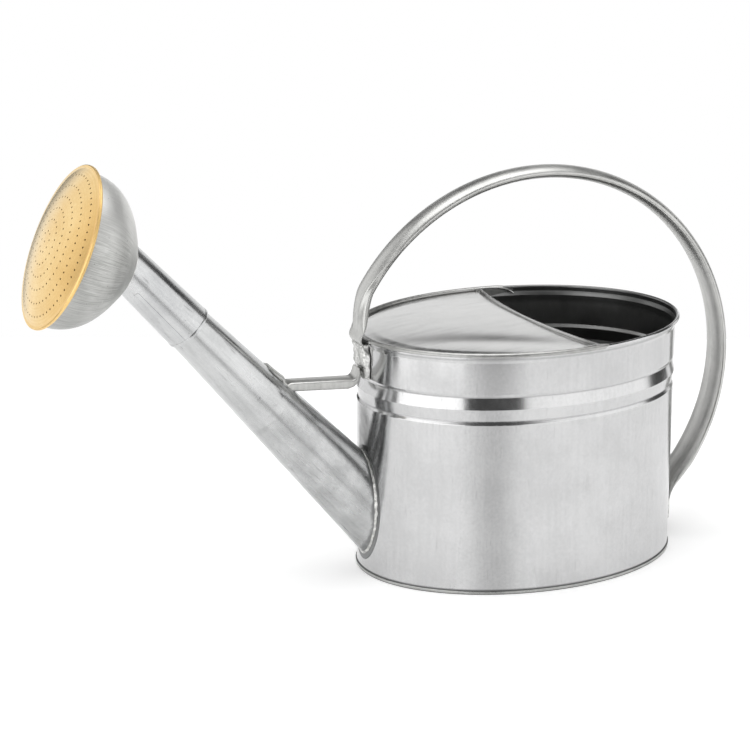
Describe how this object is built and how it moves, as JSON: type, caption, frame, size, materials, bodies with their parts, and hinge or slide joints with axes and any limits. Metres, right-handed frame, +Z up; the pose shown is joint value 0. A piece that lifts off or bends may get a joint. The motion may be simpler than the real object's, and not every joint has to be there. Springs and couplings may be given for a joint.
{
  "type": "watering can",
  "caption": "Oval galvanised watering can with a half cover, hooped tubular handle, braced spout and a removable rose with a domed brass face.",
  "frame": {"origin": "centre of the base ring, on the ground plane", "axes": "+Z up; +X towards the back of the can, away from the spout, along the oval's long axis; Y across the can"},
  "size_m": [0.6189, 0.2114, 0.3654],
  "materials": {
    "galvanised_body": "bright galvanised sheet with a soft sheen",
    "galvanised_base": "galvanised sheet",
    "galvanised_cover": "bright galvanised sheet, faint waves",
    "galvanised_spout": "bright galvanised sheet with light scuffs",
    "galvanised_handle": "galvanised tube, duller",
    "galvanised_rose": "galvanised sheet with scuffs",
    "brushed_bowl": "spun sheet with fine brushed lines",
    "steel_wire": "drawn wire",
    "solder": "bright soft solder",
    "brass_face": "satin brass"
  },
  "bodies": {
    "can": {"body_wall": "galvanised_body", "rim_wire": "steel_wire", "base_sheet": "galvanised_base", "cover": "galvanised_cover", "spout_lower": "galvanised_spout", "spout_upper": "galvanised_spout", "spout_seam_solder": "solder", "spout_collar": "galvanised_spout", "spout_solder": "solder", "handle": "galvanised_handle", "handle_front_solder": "solder", "handle_rear_solder": "solder", "brace": "galvanised_handle", "brace_solder": "solder"},
    "rose_slip": {"rose_socket_hem": "galvanised_rose"},
    "rose": {"rose_socket": "galvanised_rose", "rose_solder": "solder", "rose_bowl": "brushed_bowl", "rose_face": "brass_face"}
  },
  "joints": [
    {"name": "rose_pull", "type": "slide", "parent": "can", "child": "rose_slip", "axis": [-0.6731, 0, 0.7395], "range_m": [0, 0.045]},
    {"name": "rose_turn", "type": "hinge", "parent": "rose_slip", "child": "rose", "pos_m": [-0.30155, 0, 0.24128], "axis": [-0.6731, 0, 0.7395], "continuous": true}
  ]
}
